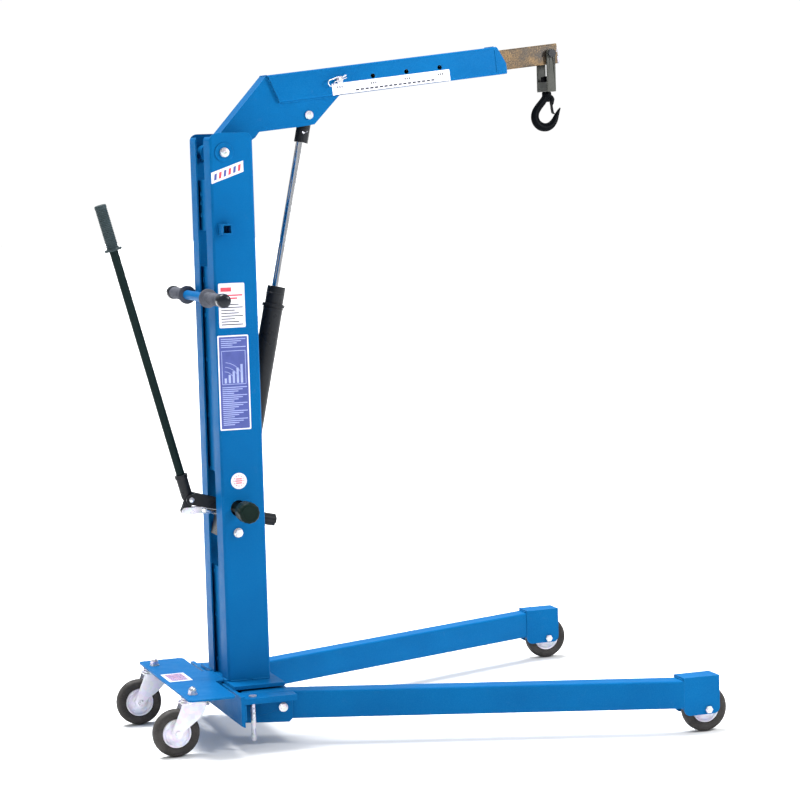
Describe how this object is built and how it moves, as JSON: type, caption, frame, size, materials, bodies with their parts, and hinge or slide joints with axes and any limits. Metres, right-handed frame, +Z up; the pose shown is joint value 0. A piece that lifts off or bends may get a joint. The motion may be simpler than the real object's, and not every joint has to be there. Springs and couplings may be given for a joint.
{
  "type": "engine hoist crane",
  "caption": "Wheeled workshop crane: upright mast on splayed pull-out legs, hand-pumped hydraulic ram lifting a cranked telescopic boom with a swivel hook.",
  "frame": {"origin": "on the floor, at the centre of the crane's own footprint box, between the two legs and ahead of the mast", "axes": "+X forward along the boom and towards the front wheels, +Y to the left of a person standing behind the mast, +Z up"},
  "size_m": [1.5276, 1.17, 1.8329],
  "materials": {
    "blue_paint": "gloss",
    "zinc_plate": "satin",
    "black_paint": "satin",
    "handle_paint": "satin",
    "grip_rubber": "matte",
    "tyre": "matte",
    "chrome": "polished",
    "bare_steel": "brushed"
  },
  "bodies": {
    "frame": {"mast_side_right": "blue_paint", "mast_side_left": "blue_paint", "mast_webs": "blue_paint", "pivot_bosses": "blue_paint", "boom_pivot_pin": "zinc_plate", "foot_pivot_bolt": "zinc_plate", "stow_stubs": "blue_paint", "mast_foot": "blue_paint", "cross_member": "blue_paint", "leg_socket_right": "blue_paint", "leg_socket_left": "blue_paint", "socket_screws": "zinc_plate", "caster_plate": "blue_paint", "caster_studs": "zinc_plate", "push_bar": "blue_paint", "push_grip_right": "grip_rubber", "push_grip_left": "grip_rubber"},
    "boom": {"arm_cheek_right": "blue_paint", "arm_cheek_left": "blue_paint", "arm_cover": "blue_paint", "arm_sleeve": "blue_paint", "boom_tube": "blue_paint", "boom_nose": "blue_paint", "ram_pin_heads": "zinc_plate"},
    "extension": {"extension_bar": "bare_steel", "hook_bolt": "black_paint"},
    "lock_pin": {"lock_pin": "zinc_plate"},
    "shackle": {"shackle": "black_paint"},
    "hook": {"hook": "black_paint"},
    "latch": {"latch": "zinc_plate"},
    "pump_unit": {"cylinder_tube": "black_paint", "gland_nut": "black_paint", "pump_block": "black_paint", "pump_barrel": "black_paint", "lever_clevis": "black_paint"},
    "rod": {"ram_rod": "chrome", "rod_end": "black_paint"},
    "lever": {"lever_socket": "black_paint"},
    "handle": {"handle_tube": "handle_paint", "handle_grip": "grip_rubber"},
    "link": {"link_plates": "zinc_plate"},
    "plunger": {"plunger": "chrome"},
    "release_knob": {"release_knob": "black_paint"},
    "caster_right": {"caster_fork_right": "zinc_plate", "caster_axle_right": "zinc_plate"},
    "rear_wheel_right": {"rear_tyre_right": "tyre", "rear_hub_right": "zinc_plate"},
    "leg_right": {"leg_tube_right": "blue_paint", "wheel_bracket_right": "blue_paint", "front_axle_right": "zinc_plate"},
    "front_wheel_right": {"front_tyre_right": "tyre", "front_hub_right": "zinc_plate"},
    "drop_pin_right": {"drop_pin_right": "zinc_plate"},
    "caster_left": {"caster_fork_left": "zinc_plate", "caster_axle_left": "zinc_plate"},
    "rear_wheel_left": {"rear_tyre_left": "tyre", "rear_hub_left": "zinc_plate"},
    "leg_left": {"leg_tube_left": "blue_paint", "wheel_bracket_left": "blue_paint", "front_axle_left": "zinc_plate"},
    "front_wheel_left": {"front_tyre_left": "tyre", "front_hub_left": "zinc_plate"},
    "drop_pin_left": {"drop_pin_left": "zinc_plate"}
  },
  "joints": [
    {"name": "boom_lift", "type": "hinge", "parent": "frame", "child": "boom", "pos_m": [-0.43672, 0, 1.559], "axis": [0, -1, 0], "range_deg": [-45, 12]},
    {"name": "boom_extension", "type": "slide", "parent": "boom", "child": "extension", "axis": [0.9949, 0, 0.1011], "range_m": [0, 0.288]},
    {"name": "lock_pin_pull", "type": "slide", "parent": "boom", "child": "lock_pin", "axis": [0, -1, 0], "range_m": [0, 0.05]},
    {"name": "shackle_swing", "type": "hinge", "parent": "extension", "child": "shackle", "pos_m": [0.51985, 0, 1.8052], "axis": [0, 1, 0], "range_deg": [-35, 35]},
    {"name": "hook_swivel", "type": "hinge", "parent": "shackle", "child": "hook", "pos_m": [0.51985, 0, 1.7], "axis": [0, 0, 1], "continuous": true},
    {"name": "latch_open", "type": "hinge", "parent": "hook", "child": "latch", "pos_m": [0.53478, 0, 1.681], "axis": [0, 1, 0], "range_deg": [0, 30], "stiffness_Nm_per_rad": 0.05, "springref_deg": -17.19},
    {"name": "ram_swing", "type": "hinge", "parent": "frame", "child": "pump_unit", "pos_m": [-0.43402, 0, 0.5573], "axis": [0, 1, 0], "range_deg": [-1.5, 4]},
    {"name": "rod_slide", "type": "slide", "parent": "pump_unit", "child": "rod", "axis": [0.2062, 0, 0.9785], "range_m": [-0.21, 0.06]},
    {"name": "lever_pump", "type": "hinge", "parent": "pump_unit", "child": "lever", "pos_m": [-0.53672, 0, 0.6421], "axis": [0, 1, 0], "range_deg": [-45, 0]},
    {"name": "handle_pull", "type": "slide", "parent": "lever", "child": "handle", "axis": [-0.2538, 0, 0.9673], "range_m": [0, 0.05]},
    {"name": "link_turn", "type": "hinge", "parent": "lever", "child": "link", "pos_m": [-0.55192, 0, 0.6116], "axis": [0, 1, 0], "range_deg": [0, 48]},
    {"name": "plunger_slide", "type": "slide", "parent": "pump_unit", "child": "plunger", "axis": [0.9785, 0, -0.2062], "range_m": [0, 0.027]},
    {"name": "release_turn", "type": "hinge", "parent": "pump_unit", "child": "release_knob", "pos_m": [-0.43061, 0, 0.62199], "axis": [0, -1, 0], "range_deg": [0, 120]},
    {"name": "caster_swivel_right", "type": "hinge", "parent": "frame", "child": "caster_right", "pos_m": [-0.60072, -0.207, 0.15], "axis": [0, 0, 1], "continuous": true},
    {"name": "rear_wheel_spin_right", "type": "hinge", "parent": "caster_right", "child": "rear_wheel_right", "pos_m": [-0.64872, -0.207, 0.0625], "axis": [0, 1, 0], "continuous": true},
    {"name": "leg_pull_right", "type": "slide", "parent": "frame", "child": "leg_right", "axis": [0.9382, -0.3461, 0], "range_m": [0, 0.25]},
    {"name": "front_wheel_spin_right", "type": "hinge", "parent": "leg_right", "child": "front_wheel_right", "pos_m": [0.70128, -0.546, 0.0625], "axis": [0, 1, 0], "continuous": true},
    {"name": "drop_pin_lift_right", "type": "slide", "parent": "frame", "child": "drop_pin_right", "axis": [0, 0, 1], "range_m": [0, 0.11]},
    {"name": "caster_swivel_left", "type": "hinge", "parent": "frame", "child": "caster_left", "pos_m": [-0.60072, 0.207, 0.15], "axis": [0, 0, 1], "continuous": true},
    {"name": "rear_wheel_spin_left", "type": "hinge", "parent": "caster_left", "child": "rear_wheel_left", "pos_m": [-0.64872, 0.207, 0.0625], "axis": [0, 1, 0], "continuous": true},
    {"name": "leg_pull_left", "type": "slide", "parent": "frame", "child": "leg_left", "axis": [0.9382, 0.3461, 0], "range_m": [0, 0.25]},
    {"name": "front_wheel_spin_left", "type": "hinge", "parent": "leg_left", "child": "front_wheel_left", "pos_m": [0.70128, 0.546, 0.0625], "axis": [0, 1, 0], "continuous": true},
    {"name": "drop_pin_lift_left", "type": "slide", "parent": "frame", "child": "drop_pin_left", "axis": [0, 0, 1], "range_m": [0, 0.11]}
  ],
  "couplings": [
    {"joint": "ram_swing", "follows": "boom_lift", "ratio": -0.0719},
    {"joint": "rod_slide", "follows": "boom_lift", "m_per_rad": 0.2528},
    {"joint": "link_turn", "follows": "lever_pump", "ratio": -1.05},
    {"joint": "plunger_slide", "follows": "lever_pump", "m_per_rad": -0.0335}
  ]
}
